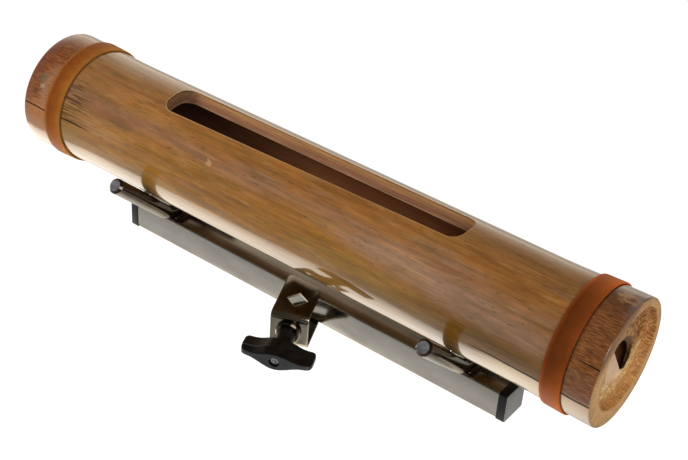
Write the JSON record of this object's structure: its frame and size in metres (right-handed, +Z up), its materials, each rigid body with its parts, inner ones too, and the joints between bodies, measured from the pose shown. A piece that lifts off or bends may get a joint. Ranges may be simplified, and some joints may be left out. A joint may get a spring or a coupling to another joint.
{
  "type": "bamboo block",
  "caption": "Slotted bamboo percussion block with rubber end bands, carried by bent rods on a square bar whose strap clamp and wing bolt grip a stand rod.",
  "frame": {"origin": "on the axis of the stand rod that the clamp grips, halfway up the holder's bar", "axes": "+X along the bamboo, +Y away from the player, +Z up along the stand rod"},
  "size_m": [0.433, 0.133, 0.1181],
  "materials": {
    "bamboo": "varnished",
    "amber_rubber": "satin",
    "dark_nickel": "polished",
    "zinc_steel": "satin",
    "black_plastic": "moulded"
  },
  "bodies": {
    "root": {"bamboo_tube": "bamboo", "left_band": "amber_rubber", "right_band": "amber_rubber", "holder_bar": "dark_nickel", "left_end_plug": "black_plastic", "right_end_plug": "black_plastic", "left_cradle_rod": "dark_nickel", "right_cradle_rod": "dark_nickel", "clamp_bracket": "dark_nickel", "clamp_nut": "dark_nickel", "cradle_screw_1": "zinc_steel", "cradle_screw_2": "zinc_steel", "cradle_screw_3": "zinc_steel", "cradle_screw_4": "zinc_steel", "cradle_washer_1": "zinc_steel", "cradle_washer_2": "zinc_steel", "cradle_washer_3": "zinc_steel", "cradle_washer_4": "zinc_steel"},
    "wing_screw": {"clamp_screw": "zinc_steel"},
    "wing_grip": {"wing_handle": "black_plastic"}
  },
  "joints": [
    {"name": "wing_bolt_feed", "type": "slide", "parent": "root", "child": "wing_screw", "axis": [-0.3827, 0.9239, 0], "range_m": [-0.006, 0.00125]},
    {"name": "wing_bolt_turn", "type": "hinge", "parent": "wing_screw", "child": "wing_grip", "pos_m": [0.01531, -0.03696, 0], "axis": [-0.3827, 0.9239, 0], "range_deg": [-2161, 451]}
  ],
  "couplings": [
    {"joint": "wing_bolt_turn", "follows": "wing_bolt_feed", "rad_per_m": 6283.2}
  ]
}
